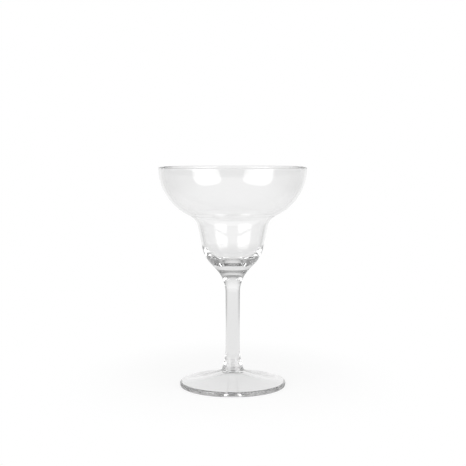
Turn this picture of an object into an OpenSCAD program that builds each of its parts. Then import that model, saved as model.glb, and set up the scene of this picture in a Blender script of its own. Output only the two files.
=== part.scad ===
// Margarita glass: a stepped bowl, a waisted stem and a round foot, fused into one drinking glass.
// Every piece is a revolve about Z. The outside of the glass is one outline that the two fused joints cut
// into pieces, so the pieces always meet flush. Millimetres, +Z up, the table at Z = 0.

/* [Bowl] */
// Height of the rim above the table
rim_height = 166; // [156:1:180]
// Outside diameter of the rim
rim_diameter = 111; // [106:1:120]
// Thickness of the bowl's wall
wall = 2.5; // [1.6:0.1:3]
// Radius of the wide coupe's side
coupe_radius = 38.5; // [34:0.5:42]
// Slope of the coupe's underside above level, in degrees
coupe_slope = 29; // [26:1:32]
// Height above the table of the shoulder, where the coupe meets the cup
shoulder_height = 126.5; // [122:0.5:130]
// Outside diameter of the cup at the shoulder
shoulder_diameter = 54.5; // [50:0.5:58]
// Radius of the hollow under the shoulder
shoulder_radius = 12; // [8:0.5:16]
// Radius that rounds the shoulder inside the bowl
inner_shoulder_radius = 13.8; // [10:0.1:18]
// Draft of the cup's wall, in degrees
cup_draft = 11.4; // [8:0.1:13]
// Height above the table of the corner where the cup's wall turns in
cup_base_height = 98.7; // [96:0.1:101]
// Radius of the cup's lower corner
cup_base_radius = 23; // [14:0.5:26]
// Slope of the cup's solid base above level, in degrees
cup_base_slope = 47; // [42:0.5:50]
// Height above the table of the cavity's floor
floor_height = 94.4; // [92:0.1:96]
// Diameter of the cavity's flat floor, before its edge is rounded
floor_diameter = 18; // [14:0.5:22]
// Radius that rounds the flat floor's edge
floor_radius = 1.5; // [0.5:0.1:4]
// Diameter at which the shallow dish round the flat floor turns up into a steeper cone
dish_diameter = 26; // [24:0.5:30]
// Height above the table of that turn
dish_height = 96.6; // [96.2:0.1:98]
// Radius that rounds the dish into the cone
dish_radius = 3; // [1:0.5:8]
// Height above the table where the cone would meet the cup's wall unrounded
cone_height = 102; // [100.5:0.1:104]
// Radius that rounds the cone into the cup's wall
cone_radius = 17; // [10:0.5:20]

/* [Stem] */
// Diameter of the stem at its waist
stem_diameter = 10.5; // [9:0.1:12]
// Gain in diameter from the waist to each end
stem_swell = 0.6; // [0:0.1:1.2]
// Height above the table of the waist
waist_height = 46; // [40:1:52]
// Radius that blends the stem into the bowl
neck_radius = 25.5; // [15:0.5:30]
// Height above the table of the joint between the bowl and the stem
bowl_joint_height = 80; // [76:0.5:84]

/* [Foot] */
// Diameter of the foot
foot_diameter = 80; // [74:1:86]
// Thickness of the foot at its edge
foot_edge = 3.7; // [3:0.1:4.5]
// Radius of the edge's upper corner
foot_edge_radius = 1.5; // [0.8:0.1:1.8]
// Radius of the edge's lower corner
foot_rest_radius = 1.2; // [0.6:0.1:1.4]
// Width of the flat ring that the glass stands on
rest_width = 1; // [0.8:0.1:4]
// Slope of the foot's top at its edge above level, in degrees
foot_slope = 9; // [6:0.5:11]
// Slope of the crown, the foot's steeper middle, above level, in degrees
crown_slope = 21; // [16:1:24]
// Diameter at which the foot's top turns up into its crown
crown_diameter = 45; // [40:1:50]
// Radius that blends the foot's top into its crown
crown_radius = 135; // [60:5:160]
// Diameter of the level top of the hollow under the foot, before it is rounded
hollow_diameter = 10; // [8:0.5:14]
// Radius that rounds the hollow's top
hollow_radius = 20; // [4:1:24]
// Height above the table where the hub's flare leaves the stem's line
hub_height = 19.7; // [19:0.1:22]
// Lean of the hub's flare from upright, in degrees
hub_flare = 21.5; // [16:0.5:26]
// Radius that blends the hub into the stem
hub_neck_radius = 42; // [25:1:46]
// Radius that blends the hub into the crown
hub_fillet = 1; // [0.5:0.1:3]
// Height above the table of the joint between the stem and the foot
foot_joint_height = 24; // [22:0.5:28]

/* [Hidden] */
// Largest distance between an arc and its chords
arc_tolerance = 0.01;
// Smallest turn of a path, in degrees, that is rounded
least_turn = 0.01;
// Share of the wall that the lip's two roundings leave flat
lip_flat_share = 0.1;
// Radius of the blend at the stem's waist
waist_radius = 600;
// Number of sides in a drawn circle
$fn = 144;

glass_tint = [0.92, 0.94, 0.95, 0.45];
rim_r = rim_diameter / 2;
shoulder_r = shoulder_diameter / 2;
stem_end_r = (stem_diameter + stem_swell) / 2;
lip_radius = wall * (1 - lip_flat_share) / 2;
coupe_corner_height = shoulder_height + (rim_r - shoulder_r) * tan(coupe_slope);
cup_base_r = shoulder_r - (shoulder_height - cup_base_height) * tan(cup_draft);
neck_height = cup_base_height - (cup_base_r - stem_end_r) * tan(cup_base_slope);

// Corners where the foot's top turns up into the crown, and the crown into the hub's flare
foot_r = foot_diameter / 2;
crown_r = crown_diameter / 2;
crown_height = foot_edge + (foot_r - crown_r) * tan(foot_slope);
hub_drop = hub_height - crown_height - (crown_r - stem_end_r) * tan(crown_slope);
hub_base_height = hub_height - hub_drop / (1 - tan(hub_flare) * tan(crown_slope));
hub_base_r = stem_end_r + (hub_height - hub_base_height) * tan(hub_flare);

// Corners of the outside, from the foot's rest up to the rim: [radius, height, rounding]
outside = [
    [foot_r, 0, foot_rest_radius],
    [foot_r, foot_edge, foot_edge_radius],
    [crown_r, crown_height, crown_radius],
    [hub_base_r, hub_base_height, hub_fillet],
    [stem_end_r, hub_height, hub_neck_radius],
    [stem_diameter / 2, waist_height, waist_radius],
    [stem_end_r, neck_height, neck_radius],
    [cup_base_r, cup_base_height, cup_base_radius],
    [shoulder_r, shoulder_height, shoulder_radius],
    [rim_r, coupe_corner_height, coupe_radius],
    [rim_r, rim_height, lip_radius],
];

// The walls of the bowl's cavity follow its outside, moved in by their thickness
wall_shift = wall / cos(cup_draft);
underside_shift = wall / cos(coupe_slope);
inner_rim_r = rim_r - wall;
inner_coupe_height = coupe_corner_height + underside_shift - wall * tan(coupe_slope);
shoulder_rise = (underside_shift - wall_shift * tan(coupe_slope)) / (1 - tan(cup_draft) * tan(coupe_slope));
inner_shoulder_height = shoulder_height + shoulder_rise;
inner_shoulder_r = shoulder_r - wall_shift + shoulder_rise * tan(cup_draft);
cone_r = inner_shoulder_r - (inner_shoulder_height - cone_height) * tan(cup_draft);

// Corners of the cavity, from its floor up to the rim
cavity = [
    [0, floor_height, 0],
    [floor_diameter / 2, floor_height, floor_radius],
    [dish_diameter / 2, dish_height, dish_radius],
    [cone_r, cone_height, cone_radius],
    [inner_shoulder_r, inner_shoulder_height, inner_shoulder_radius],
    [inner_rim_r, inner_coupe_height, coupe_radius - wall],
    [inner_rim_r, rim_height, lip_radius],
];

// Corners of the hollow under the foot, whose two slopes run parallel to the foot's top
hollow_r = hollow_diameter / 2;
hollow_edge_r = foot_r - foot_rest_radius - rest_width;
hollow_crown_height = (hollow_edge_r - crown_r) * tan(foot_slope);
hollow_height = hollow_crown_height + (crown_r - hollow_r) * tan(crown_slope);
hollow = [
    [hollow_edge_r, 0, 0],
    [crown_r, hollow_crown_height, crown_radius + foot_edge],
    [hollow_r, hollow_height, hollow_radius],
    [0, hollow_height, 0],
];

function flat(corner) = [corner[0], corner[1]];
function unit(v) = v / norm(v);

// Half of the angle inside corner i
function half_angle(path, i) =
    let (back = unit(flat(path[i - 1]) - flat(path[i])), on = unit(flat(path[i + 1]) - flat(path[i])))
    acos(max(-1, min(1, back * on))) / 2;

// Length that corner i's rounding takes of each side, before its neighbours limit it
function reach(path, i) =
    i <= 0 || i >= len(path) - 1 ? 0 : path[i][2] / tan(half_angle(path, i));

// Share of its reach that corner i may use, where two roundings would meet on one side
function room(path, i) =
    min([1, for (j = [i - 1, i])
        let (side = norm(flat(path[j + 1]) - flat(path[j])), taken = reach(path, j) + reach(path, j + 1))
        taken > side ? side / taken : 1]);

// Angle by which the path turns at corner i
function turn(path, i) = 180 - 2 * half_angle(path, i);

// Whether corner i stays a point: an end of the path, or a corner with no rounding or no turn
function stays_sharp(path, i) =
    i == 0 || i == len(path) - 1 || path[i][2] == 0 || turn(path, i) < least_turn;

// Number of chords that keep an arc within its tolerance
function chords(angle, radius) = ceil(angle / (2 * acos(max(0, 1 - arc_tolerance / radius))));

// Points of the arc that rounds corner i
function rounded(path, i) =
    stays_sharp(path, i) ? [flat(path[i])] :
    let (
        at = flat(path[i]),
        back = unit(flat(path[i - 1]) - at),
        on = unit(flat(path[i + 1]) - at),
        radius = path[i][2] * room(path, i),
        centre = at + unit(back + on) * radius / sin(half_angle(path, i)),
        from = at + back * reach(path, i) * room(path, i) - centre,
        start = atan2(from[1], from[0]),
        sweep = turn(path, i) * sign(back[1] * on[0] - back[0] * on[1]),
        count = chords(abs(sweep), radius)
    )
    [for (k = [0 : count]) let (a = start + sweep * k / count) centre + radius * [cos(a), sin(a)]];

function outline(path) = [for (i = [0 : len(path) - 1]) each rounded(path, i)];

// A path whose last corner is the lip: the lip's own top runs to the middle of the wall
function to_lip(path) = concat(path, [[rim_r - wall / 2, rim_height, 0]]);

// The glass without its cavity, as the half section that is turned about the axis
module outside_section() {
    foot_start = [[0, 0, 0]];
    polygon(concat(outline(concat(foot_start, to_lip(outside))), [[0, rim_height]]));
}

module cavity_section() {
    polygon(concat(outline(to_lip(cavity)), [[0, rim_height]]));
}

// The hollow under the foot, which leaves a flat ring to stand on
module hollow_section() {
    polygon(concat([[0, 0]], outline(hollow)));
}

// The part of the outside between two heights
module between(low, high) {
    intersection() {
        outside_section();
        translate([0, low]) square([max(rim_r, foot_r), high - low]);
    }
}

// The bowl: a wide coupe that steps in to a narrow cup with a thick solid base
module bowl() {
    color(glass_tint)
    rotate_extrude()
    difference() {
        between(bowl_joint_height, rim_height);
        cavity_section();
    }
}

// The stem: a solid rod, drawn in at its waist and flared into the bowl
module stem() {
    color(glass_tint)
    rotate_extrude()
    between(foot_joint_height, bowl_joint_height);
}

// The foot: a round plate, hollow underneath, that rises through its crown to a flared hub under the stem
module foot() {
    color(glass_tint)
    rotate_extrude()
    difference() {
        between(0, foot_joint_height);
        hollow_section();
    }
}

bowl();
stem();
foot();
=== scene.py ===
import math

import bmesh
import bpy
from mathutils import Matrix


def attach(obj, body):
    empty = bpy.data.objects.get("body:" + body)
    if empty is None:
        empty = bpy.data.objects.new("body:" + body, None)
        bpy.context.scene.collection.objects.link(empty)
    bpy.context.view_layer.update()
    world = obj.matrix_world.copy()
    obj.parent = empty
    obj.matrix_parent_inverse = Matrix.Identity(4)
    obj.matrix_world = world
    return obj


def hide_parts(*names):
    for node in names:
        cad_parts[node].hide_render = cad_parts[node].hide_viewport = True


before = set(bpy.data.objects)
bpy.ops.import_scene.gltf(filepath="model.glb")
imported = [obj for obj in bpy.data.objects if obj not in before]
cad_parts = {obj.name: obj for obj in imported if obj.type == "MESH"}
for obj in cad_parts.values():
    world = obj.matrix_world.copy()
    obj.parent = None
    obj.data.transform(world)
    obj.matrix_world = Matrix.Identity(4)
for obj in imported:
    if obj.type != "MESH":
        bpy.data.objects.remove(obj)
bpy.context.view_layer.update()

# The bowl: a wide coupe that steps in at its shoulder to a narrow cup with a thick solid base.
# Clear soda-lime glass, blown into a turning mould, so it has no seam; a flame melts the lip round.
# Its base runs on into the stem, which is drawn out of it while it is hot.
rim_height = 166.0
rim_diameter = 111.0
wall = 2.5
lip_flat_share = 0.1
coupe_radius = 38.5
coupe_slope = math.radians(29)
shoulder_height = 126.5
shoulder_diameter = 54.5
shoulder_radius = 12.0
inner_shoulder_radius = 13.8
cup_draft = math.radians(11.4)
cup_base_height = 98.7
cup_base_radius = 23.0
cup_base_slope = math.radians(47)
floor_height = 94.4
floor_diameter = 18.0
floor_radius = 1.5
dish_diameter = 26.0
dish_height = 96.6
dish_radius = 3.0
cone_height = 102.0
cone_radius = 17.0
stem_diameter = 10.5
stem_swell = 0.6
waist_height = 46.0
neck_radius = 25.5
bowl_joint_height = 80.0

rim_r = rim_diameter / 2
shoulder_r = shoulder_diameter / 2
stem_end_r = (stem_diameter + stem_swell) / 2
lip_radius = wall * (1 - lip_flat_share) / 2
lip_middle = (rim_r - wall / 2, rim_height, 0)
coupe_corner_height = shoulder_height + (rim_r - shoulder_r) * math.tan(coupe_slope)
cup_base_r = shoulder_r - (shoulder_height - cup_base_height) * math.tan(cup_draft)
neck_height = cup_base_height - (cup_base_r - stem_end_r) * math.tan(cup_base_slope)

# The cavity has the lines of the outside, moved in by the wall
wall_shift = wall / math.cos(cup_draft)
underside_shift = wall / math.cos(coupe_slope)
inner_rim_r = rim_r - wall
inner_coupe_height = coupe_corner_height + underside_shift - wall * math.tan(coupe_slope)
shoulder_rise = ((underside_shift - wall_shift * math.tan(coupe_slope))
                 / (1 - math.tan(cup_draft) * math.tan(coupe_slope)))
inner_shoulder_height = shoulder_height + shoulder_rise
inner_shoulder_r = shoulder_r - wall_shift + shoulder_rise * math.tan(cup_draft)
cone_r = inner_shoulder_r - (inner_shoulder_height - cone_height) * math.tan(cup_draft)

# Corners up to the lip, from the stem's waist and from the cavity's floor: radius, height, rounding
bowl_corners = [
    (stem_diameter / 2, waist_height, 0),
    (stem_end_r, neck_height, neck_radius),
    (cup_base_r, cup_base_height, cup_base_radius),
    (shoulder_r, shoulder_height, shoulder_radius),
    (rim_r, coupe_corner_height, coupe_radius),
    (rim_r, rim_height, lip_radius),
    lip_middle,
]
cavity_corners = [
    (0, floor_height, 0),
    (floor_diameter / 2, floor_height, floor_radius),
    (dish_diameter / 2, dish_height, dish_radius),
    (cone_r, cone_height, cone_radius),
    (inner_shoulder_r, inner_shoulder_height, inner_shoulder_radius),
    (inner_rim_r, inner_coupe_height, coupe_radius - wall),
    (inner_rim_r, rim_height, lip_radius),
    lip_middle,
]

longest_span = 0.6
largest_turn = math.radians(3)
too_small = 1e-6


def rounded_line(corners):
    """Points of a line with rounded corners, close enough together that its shading stays true."""
    points = [corners[0][:2]]
    for before, corner, after in zip(corners, corners[1:], corners[2:]):
        x, y, radius = corner
        if radius == 0:
            points.append((x, y))
            continue
        back, on = math.dist(before[:2], (x, y)), math.dist(after[:2], (x, y))
        bx, by = (before[0] - x) / back, (before[1] - y) / back
        ox, oy = (after[0] - x) / on, (after[1] - y) / on
        turn = math.pi - math.acos(max(-1.0, min(1.0, bx * ox + by * oy)))
        reach = radius * math.tan(turn / 2)
        mx, my = bx + ox, by + oy
        depth = radius / math.cos(turn / 2) / math.hypot(mx, my)
        cx, cy = x + mx * depth, y + my * depth
        start = math.atan2(y + by * reach - cy, x + bx * reach - cx)
        sweep = math.copysign(turn, by * ox - bx * oy)
        count = math.ceil(max(turn / largest_turn, turn * radius / longest_span))
        for k in range(count + 1):
            angle = start + sweep * k / count
            points.append((cx + radius * math.cos(angle), cy + radius * math.sin(angle)))
    points.append(corners[-1][:2])
    line = [points[0]]
    for (ax, ay), (bx, by) in zip(points, points[1:]):
        count = math.ceil(math.dist((ax, ay), (bx, by)) / longest_span - too_small)
        for k in range(1, count + 1):
            line.append((ax + (bx - ax) * k / count, ay + (by - ay) * k / count))
    return line


def between(line, low, high):
    """The part of a line between two heights, cut square at both."""
    kept = [line[0]] if low <= line[0][1] <= high else []
    for a, b in zip(line, line[1:]):
        for cut in (low, high):
            if min(a[1], b[1]) < cut < max(a[1], b[1]):
                share = (cut - a[1]) / (b[1] - a[1])
                kept.append((a[0] + (b[0] - a[0]) * share, cut))
        if low <= b[1] <= high:
            kept.append(b)
    return kept


mm_per_metre = 1000
sides = 224
sharp_turn = math.radians(6)


def turned(name, line, seats, glass):
    """A closed body of revolution from a line in millimetres.
    Its level faces at the seats' heights are marked as fused."""
    body = bmesh.new()
    fused = body.faces.layers.float.new("fused")
    rings = []
    for radius, height in line:
        count = sides if radius > too_small else 1
        rings.append([
            body.verts.new((radius / mm_per_metre * math.cos(math.tau * i / sides),
                            radius / mm_per_metre * math.sin(math.tau * i / sides),
                            height / mm_per_metre))
            for i in range(count)
        ])
    for start, end, ring, next_ring in zip(line, line[1:], rings, rings[1:]):
        on_seat = any(max(abs(start[1] - seat), abs(end[1] - seat)) < too_small for seat in seats)
        for i in range(sides):
            j = (i + 1) % sides
            corners = ring[:1] if len(ring) == 1 else [ring[i], ring[j]]
            corners += next_ring[:1] if len(next_ring) == 1 else [next_ring[j], next_ring[i]]
            face = body.faces.new(corners)
            face.smooth = True
            face[fused] = float(on_seat)
    bmesh.ops.recalc_face_normals(body, faces=body.faces)
    mesh = bpy.data.meshes.new(name)
    body.to_mesh(mesh)
    body.free()
    mesh.set_sharp_from_angle(angle=sharp_turn)
    mesh.materials.append(glass)
    piece = bpy.data.objects.new(name, mesh)
    bpy.context.collection.objects.link(piece)
    return piece


def place(tree, kind, **values):
    """A new node with its settings, and its unlinked inputs by name."""
    node = tree.nodes.new(kind)
    for key, value in values.items():
        if key in node.inputs.keys():
            node.inputs[key].default_value = value
        else:
            setattr(node, key, value)
    return node


def ramp(tree, source, low, high, start, end):
    """A smooth change from start to end, each a number or an output, as the source goes from low
    to high."""
    node = place(tree, "ShaderNodeMapRange", interpolation_type="SMOOTHSTEP")
    node.inputs["From Min"].default_value = low
    node.inputs["From Max"].default_value = high
    for name, value in (("To Min", start), ("To Max", end)):
        if isinstance(value, bpy.types.NodeSocket):
            tree.links.new(value, node.inputs[name])
        else:
            node.inputs[name].default_value = value
    tree.links.new(source, node.inputs["Value"])
    return node.outputs["Result"]


# What hot working leaves on clear glass: a slow waviness, fine streaks, and a film of faint smears
streaks_per_wave = 6.0
smears_per_metre = 90.0
film_start, film_full = 0.45, 0.75

worked = bpy.data.node_groups.new("worked_glass", "ShaderNodeTree")
worked.interface.new_socket("Stretch", in_out="INPUT", socket_type="NodeSocketVector")
for name in ("Waves Per Metre", "Streak Share", "Smear"):
    worked.interface.new_socket(name, in_out="INPUT", socket_type="NodeSocketFloat")
for name in ("Height", "Roughness"):
    worked.interface.new_socket(name, in_out="OUTPUT", socket_type="NodeSocketFloat")
given = worked.nodes.new("NodeGroupInput")
result = worked.nodes.new("NodeGroupOutput")
where = worked.nodes.new("ShaderNodeTexCoord")
stretched = place(worked, "ShaderNodeVectorMath", operation="MULTIPLY")
waves = place(worked, "ShaderNodeTexNoise", Detail=1.0, Roughness=0.4)
streaks = place(worked, "ShaderNodeTexNoise", Detail=2.0, Roughness=0.5)
streaks_per_metre = place(worked, "ShaderNodeMath", operation="MULTIPLY")
streaks_per_metre.inputs[1].default_value = streaks_per_wave
height = place(worked, "ShaderNodeMath", operation="MULTIPLY_ADD")
smears = place(worked, "ShaderNodeTexNoise", Scale=smears_per_metre, Detail=5.0, Roughness=0.7)
worked.links.new(where.outputs["Object"], stretched.inputs[0])
worked.links.new(given.outputs["Stretch"], stretched.inputs[1])
worked.links.new(stretched.outputs["Vector"], waves.inputs["Vector"])
worked.links.new(stretched.outputs["Vector"], streaks.inputs["Vector"])
worked.links.new(given.outputs["Waves Per Metre"], waves.inputs["Scale"])
worked.links.new(given.outputs["Waves Per Metre"], streaks_per_metre.inputs[0])
worked.links.new(streaks_per_metre.outputs["Value"], streaks.inputs["Scale"])
worked.links.new(streaks.outputs["Fac"], height.inputs[0])
worked.links.new(given.outputs["Streak Share"], height.inputs[1])
worked.links.new(waves.outputs["Fac"], height.inputs[2])
worked.links.new(height.outputs["Value"], result.inputs["Height"])
worked.links.new(where.outputs["Object"], smears.inputs["Vector"])
film = ramp(worked, smears.outputs["Fac"], film_start, film_full, 0.0, given.outputs["Smear"])
worked.links.new(film, result.inputs["Roughness"])

glass_ior = 1.5
grey_per_metre = 8.0
glass_shade = (0.94, 0.94, 0.94, 1)


def clear_glass(name, stretch, waves_per_metre, wave_depth, streak_share, smear):
    """Grey-clear glass, whose surface carries its own traces of working; lamps shine through it.
    Where two pieces have run together, on the faces marked as fused, there is no surface to see."""
    material = bpy.data.materials.new(name)
    material.use_nodes = True
    tree = material.node_tree
    output = tree.nodes["Material Output"]
    shader = tree.nodes["Principled BSDF"]
    shader.inputs["Base Color"].default_value = (1, 1, 1, 1)
    shader.inputs["Transmission Weight"].default_value = 1.0
    shader.inputs["IOR"].default_value = glass_ior
    surface = tree.nodes.new("ShaderNodeGroup")
    surface.node_tree = worked
    surface.inputs["Stretch"].default_value = stretch
    surface.inputs["Waves Per Metre"].default_value = waves_per_metre
    surface.inputs["Streak Share"].default_value = streak_share
    surface.inputs["Smear"].default_value = smear
    bump = place(tree, "ShaderNodeBump", Strength=1.0, Distance=wave_depth)
    tree.links.new(surface.outputs["Height"], bump.inputs["Height"])
    tree.links.new(bump.outputs["Normal"], shader.inputs["Normal"])
    tree.links.new(surface.outputs["Roughness"], shader.inputs["Roughness"])
    joint = place(tree, "ShaderNodeAttribute", attribute_name="fused")
    open_face = place(tree, "ShaderNodeMath", operation="SUBTRACT")
    open_face.inputs[0].default_value = 1.0
    tree.links.new(joint.outputs["Fac"], open_face.inputs[1])
    tree.links.new(open_face.outputs["Value"], shader.inputs["Alpha"])
    tone = place(tree, "ShaderNodeVolumeAbsorption", Color=(0, 0, 0, 1), Density=grey_per_metre)
    tree.links.new(tone.outputs["Volume"], output.inputs["Volume"])

    # Light on its way to the floor goes straight through, so the shadow stays pale and soft
    ray = tree.nodes.new("ShaderNodeLightPath")
    through = place(tree, "ShaderNodeBsdfTransparent", Color=glass_shade)
    seen = shader.outputs["BSDF"]
    for kind in ("Is Shadow Ray", "Is Diffuse Ray"):
        choice = tree.nodes.new("ShaderNodeMixShader")
        tree.links.new(ray.outputs[kind], choice.inputs[0])
        tree.links.new(seen, choice.inputs[1])
        tree.links.new(through.outputs["BSDF"], choice.inputs[2])
        seen = choice.outputs["Shader"]
    tree.links.new(seen, output.inputs["Surface"])
    return material


fused_gap = 0.01

blown_glass = clear_glass("blown_glass", stretch=(1, 1, 1), waves_per_metre=45.0,
                          wave_depth=0.00002, streak_share=0.05, smear=0.02)
bowl_bottom = bowl_joint_height + fused_gap
bowl_line = [(0, bowl_bottom)] + between(rounded_line(bowl_corners), bowl_bottom, rim_height)
bowl_line += rounded_line(cavity_corners)[-2::-1]
bowl = turned("bowl_glass", bowl_line, [bowl_bottom], blown_glass)
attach(bowl, "root")
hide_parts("bowl")

# The stem: a solid rod, a little narrower at its waist, that flares into the bowl's base.
# The same clear glass, drawn out of the bowl's base while hot, which leaves faint streaks along it.
# It is fused to the bowl above and to the foot's hub below.
waist_radius = 600.0
foot_joint_height = 24.0
hub_height = 19.7
hub_flare = math.radians(21.5)
hub_neck_radius = 42.0
flare_length = 10.0

stem_corners = [
    (stem_end_r + flare_length * math.sin(hub_flare),
     hub_height - flare_length * math.cos(hub_flare), 0),
    (stem_end_r, hub_height, hub_neck_radius),
    (stem_diameter / 2, waist_height, waist_radius),
    (stem_end_r, neck_height, neck_radius),
    (cup_base_r, cup_base_height, 0),
]
drawn_glass = clear_glass("drawn_glass", stretch=(1, 1, 0.06), waves_per_metre=120.0,
                          wave_depth=0.00001, streak_share=0.15, smear=0.02)
stem_bottom = foot_joint_height + fused_gap
stem_top = bowl_joint_height - fused_gap
stem_side = between(rounded_line(stem_corners), stem_bottom, stem_top)
stem_line = [(0, stem_bottom)] + stem_side + [(0, stem_top)]
stem = turned("stem_glass", stem_line, [stem_bottom, stem_top], drawn_glass)
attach(stem, "root")
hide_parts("stem")

# The foot: a round plate that rises through a steeper crown to a flared hub, hollow underneath.
# A gather of the same glass, pressed and spun out flat, which leaves slow waves on it.
# Its hub is fused to the stem, and the glass stands on the narrow ring under the foot's edge.
foot_diameter = 80.0
foot_edge = 3.7
foot_edge_radius = 1.5
foot_rest_radius = 1.2
rest_width = 1.0
foot_slope = math.radians(9)
crown_slope = math.radians(21)
crown_diameter = 45.0
crown_radius = 135.0
hollow_diameter = 10.0
hollow_radius = 20.0
hub_fillet = 1.0
below_foot = -1.0

foot_r = foot_diameter / 2
crown_r = crown_diameter / 2
hollow_r = hollow_diameter / 2
crown_height = foot_edge + (foot_r - crown_r) * math.tan(foot_slope)
hub_drop = hub_height - crown_height - (crown_r - stem_end_r) * math.tan(crown_slope)
hub_base_height = hub_height - hub_drop / (1 - math.tan(hub_flare) * math.tan(crown_slope))
hub_base_r = stem_end_r + (hub_height - hub_base_height) * math.tan(hub_flare)
hollow_edge_r = foot_r - foot_rest_radius - rest_width
hollow_crown_height = (hollow_edge_r - crown_r) * math.tan(foot_slope)
hollow_height = hollow_crown_height + (crown_r - hollow_r) * math.tan(crown_slope)
foot_corners = [
    (0, hollow_height, 0),
    (hollow_r, hollow_height, hollow_radius),
    (crown_r, hollow_crown_height, crown_radius + foot_edge),
    (hollow_edge_r, 0, 0),
    (foot_r, 0, foot_rest_radius),
    (foot_r, foot_edge, foot_edge_radius),
    (crown_r, crown_height, crown_radius),
    (hub_base_r, hub_base_height, hub_fillet),
    (stem_end_r, hub_height, hub_neck_radius),
    (stem_diameter / 2, waist_height, 0),
]
pressed_glass = clear_glass("pressed_glass", stretch=(1, 1, 1), waves_per_metre=60.0,
                            wave_depth=0.00001, streak_share=0.1, smear=0.02)
foot_top = foot_joint_height - fused_gap
foot_line = between(rounded_line(foot_corners), below_foot, foot_top) + [(0, foot_top)]
foot = turned("foot_glass", foot_line, [foot_top], pressed_glass)
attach(foot, "root")
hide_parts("foot")

# The floor: a pale matt patch under the glass, which runs out into an even white all round.
# It keeps the soft shadow of the glass. For the rays that the glass bends down to it, it glows with
# painted light, and painted shade leaves it dimmer on the sheet near the glass than far behind it,
# up to the horizon.
floor_half = 12.0
floor_drop = 0.00005
floor_pale = 0.5
floor_roughness = 0.9
floor_light = 0.878
floor_narrow = 1.4
floor_near, floor_far = 0.06, 0.2
under_glow = 0.48
sheet_glow = 0.859
sheet_narrow = 2.4
sheet_near, sheet_far = 0.3, 0.95
far_glow = 0.97
horizon_glow = 0.915
horizon_near, horizon_far = 3.8, 4.7
room_glow = 0.43
backdrop_edge, backdrop_full = 0.45, 1.0

pale_floor = bpy.data.materials.new("pale_floor")
pale_floor.use_nodes = True
tree = pale_floor.node_tree
shader = tree.nodes["Principled BSDF"]
shader.inputs["Roughness"].default_value = floor_roughness
shader.inputs["Specular IOR Level"].default_value = 0.0
shader.inputs["Emission Color"].default_value = (1, 1, 1, 1)
spot = tree.nodes.new("ShaderNodeNewGeometry")


def off_axis(narrow):
    """Distance of a spot on the floor from the glass's axis, with its way across counted more."""
    across = place(tree, "ShaderNodeVectorMath", operation="MULTIPLY")
    across.inputs[1].default_value = (narrow, 1, 1)
    off = place(tree, "ShaderNodeVectorMath", operation="LENGTH")
    tree.links.new(spot.outputs["Position"], across.inputs[0])
    tree.links.new(across.outputs["Vector"], off.inputs[0])
    return off.outputs["Value"]


def eye_and_bent(tree):
    """Two masks: rays straight from the eye, and rays that the glass has mirrored or bent."""
    ray = tree.nodes.new("ShaderNodeLightPath")
    bent = place(tree, "ShaderNodeMath", operation="ADD", use_clamp=True)
    tree.links.new(ray.outputs["Is Glossy Ray"], bent.inputs[0])
    tree.links.new(ray.outputs["Is Transmission Ray"], bent.inputs[1])
    return ray.outputs["Is Camera Ray"], bent.outputs["Value"]


# For the eye, the patch's glow makes up what its lamplight lacks of white
off_patch = off_axis(floor_narrow)
matt = ramp(tree, off_patch, floor_near, floor_far, floor_pale, 0.0)
glow = ramp(tree, off_patch, floor_near, floor_far, 1 - floor_pale * floor_light, 1.0)
tree.links.new(matt, shader.inputs["Base Color"])

# For bent rays, the floor has its own painted glow from near to far: painted shade leaves it dimmer
# near the glass, and dim off to the sides
toward = place(tree, "ShaderNodeVectorMath", operation="NORMALIZE")
tree.links.new(spot.outputs["Position"], toward.inputs[0])
split = tree.nodes.new("ShaderNodeSeparateXYZ")
tree.links.new(toward.outputs["Vector"], split.inputs["Vector"])
near_glow = ramp(tree, off_patch, floor_near, floor_far, under_glow, sheet_glow)
horizon = ramp(tree, off_axis(1), horizon_near, horizon_far, far_glow, horizon_glow)
backdrop = ramp(tree, split.outputs["Y"], backdrop_edge, backdrop_full, room_glow, horizon)
bent_glow = ramp(tree, off_axis(sheet_narrow), sheet_near, sheet_far, near_glow, backdrop)

eye, bent = eye_and_bent(tree)
eye_share = place(tree, "ShaderNodeMath", operation="MULTIPLY")
total = place(tree, "ShaderNodeMath", operation="MULTIPLY_ADD")
tree.links.new(glow, eye_share.inputs[0])
tree.links.new(eye, eye_share.inputs[1])
tree.links.new(bent_glow, total.inputs[0])
tree.links.new(bent, total.inputs[1])
tree.links.new(eye_share.outputs["Value"], total.inputs[2])
tree.links.new(total.outputs["Value"], shader.inputs["Emission Strength"])

floor_mesh = bpy.data.meshes.new("floor")
floor_corners = [(-floor_half, -floor_half, -floor_drop), (floor_half, -floor_half, -floor_drop),
                 (floor_half, floor_half, -floor_drop), (-floor_half, floor_half, -floor_drop)]
floor_mesh.from_pydata(floor_corners, [], [(0, 1, 2, 3)])
floor_mesh.materials.append(pale_floor)
floor = bpy.data.objects.new("floor", floor_mesh)
bpy.context.collection.objects.link(floor)

# The light: two large softboxes with soft edges, in front of the glass to the left and the right.
# The room is white behind the glass, less so high up, and dim at its sides and behind the camera.
# The eye itself meets even white wherever it misses the glass.
box_bearing = math.radians(48.5)
box_rise = math.radians(21)
box_distance = 1.2
box_aim = 0.12
left_box_width, right_box_width, box_tall = 1.38, 1.24, 1.18
box_glow = 3.0
box_squareness = 3.0
box_soft = 0.2
ambient_glow = 0.4
backdrop_glow = 1.03
sky_glow = 0.9
sky_low, sky_high = 0.05, 0.4

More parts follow.
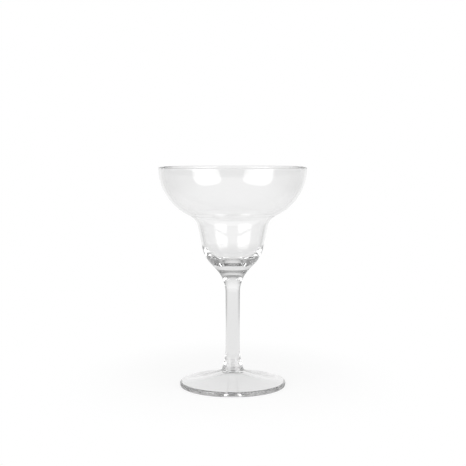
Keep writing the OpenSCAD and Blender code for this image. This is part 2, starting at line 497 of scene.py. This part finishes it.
for side, box_width in ((-1, left_box_width), (1, right_box_width)):
    lamp = bpy.data.lights.new("softbox", "AREA")
    lamp.shape = "RECTANGLE"
    lamp.size, lamp.size_y = box_width, box_tall
    lamp.energy = box_glow * math.pi * box_width * box_tall
    lamp.use_nodes = True
    tree = lamp.node_tree

    # How far a spot of the panel is from its middle, as a share of its half width and half height
    panel = tree.nodes.new("ShaderNodeNewGeometry")
    from_middle = place(tree, "ShaderNodeVectorMath", operation="MULTIPLY_ADD")
    from_middle.inputs[1].default_value = (2, 2, 0)
    from_middle.inputs[2].default_value = (-1, -1, 0)
    tree.links.new(panel.outputs["Parametric"], from_middle.inputs[0])
    shares = place(tree, "ShaderNodeVectorMath", operation="ABSOLUTE")
    tree.links.new(from_middle.outputs["Vector"], shares.inputs[0])
    split = tree.nodes.new("ShaderNodeSeparateXYZ")
    tree.links.new(shares.outputs["Vector"], split.inputs["Vector"])
    spread = place(tree, "ShaderNodeMath", operation="ADD")
    for socket, axis in zip(spread.inputs, "XY"):
        power = place(tree, "ShaderNodeMath", operation="POWER")
        power.inputs[1].default_value = box_squareness
        tree.links.new(split.outputs[axis], power.inputs[0])
        tree.links.new(power.outputs["Value"], socket)
    soft = ramp(tree, spread.outputs["Value"], box_soft, 1.0, 1.0, 0.0)
    tree.links.new(soft, tree.nodes["Emission"].inputs["Strength"])

    softbox = bpy.data.objects.new("softbox", lamp)
    level = box_distance * math.cos(box_rise)
    softbox.location = (side * level * math.sin(box_bearing), -level * math.cos(box_bearing),
                        box_aim + box_distance * math.sin(box_rise))
    softbox.rotation_euler = (math.pi / 2 - box_rise, 0, side * box_bearing)
    bpy.context.collection.objects.link(softbox)

room = bpy.data.worlds.new("room")
bpy.context.scene.world = room
room.use_nodes = True
tree = room.node_tree
background = tree.nodes["Background"]
background.inputs["Color"].default_value = (1, 1, 1, 1)
toward = tree.nodes.new("ShaderNodeTexCoord")
split = tree.nodes.new("ShaderNodeSeparateXYZ")
tree.links.new(toward.outputs["Generated"], split.inputs["Vector"])
sky = ramp(tree, split.outputs["Z"], sky_low, sky_high, backdrop_glow, sky_glow)
backdrop = ramp(tree, split.outputs["Y"], backdrop_edge, backdrop_full, room_glow, sky)
eye, bent = eye_and_bent(tree)
plain = place(tree, "ShaderNodeMix")
plain.inputs["A"].default_value = ambient_glow
plain.inputs["B"].default_value = 1.0
shown = place(tree, "ShaderNodeMix")
tree.links.new(eye, plain.inputs["Factor"])
tree.links.new(bent, shown.inputs["Factor"])
tree.links.new(plain.outputs["Result"], shown.inputs["A"])
tree.links.new(backdrop, shown.inputs["B"])
tree.links.new(shown.outputs["Result"], background.inputs["Strength"])

# The camera: a long lens a little above the rim, looking slightly down.
# Light runs to and fro in the wall many times before it leaves, so many bounces are followed.
focal_pixels = 1029.0
frame_pixels = 466.0
sensor_width = 36.0
camera_distance = 0.772
camera_height = 0.1804
camera_side = 0.0002
camera_tilt = math.radians(4.75)
glass_bounces = 64
clear_bounces = 32

lens = bpy.data.cameras.new("camera")
lens.sensor_width = sensor_width
lens.lens = focal_pixels / frame_pixels * sensor_width
camera = bpy.data.objects.new("camera", lens)
camera.location = (camera_side, -camera_distance, camera_height)
camera.rotation_euler = (math.pi / 2 - camera_tilt, 0, 0)
bpy.context.collection.objects.link(camera)
scene = bpy.context.scene
scene.camera = camera
scene.view_settings.view_transform = "Standard"
scene.cycles.max_bounces = glass_bounces
scene.cycles.glossy_bounces = glass_bounces
scene.cycles.transmission_bounces = glass_bounces
scene.cycles.transparent_max_bounces = clear_bounces
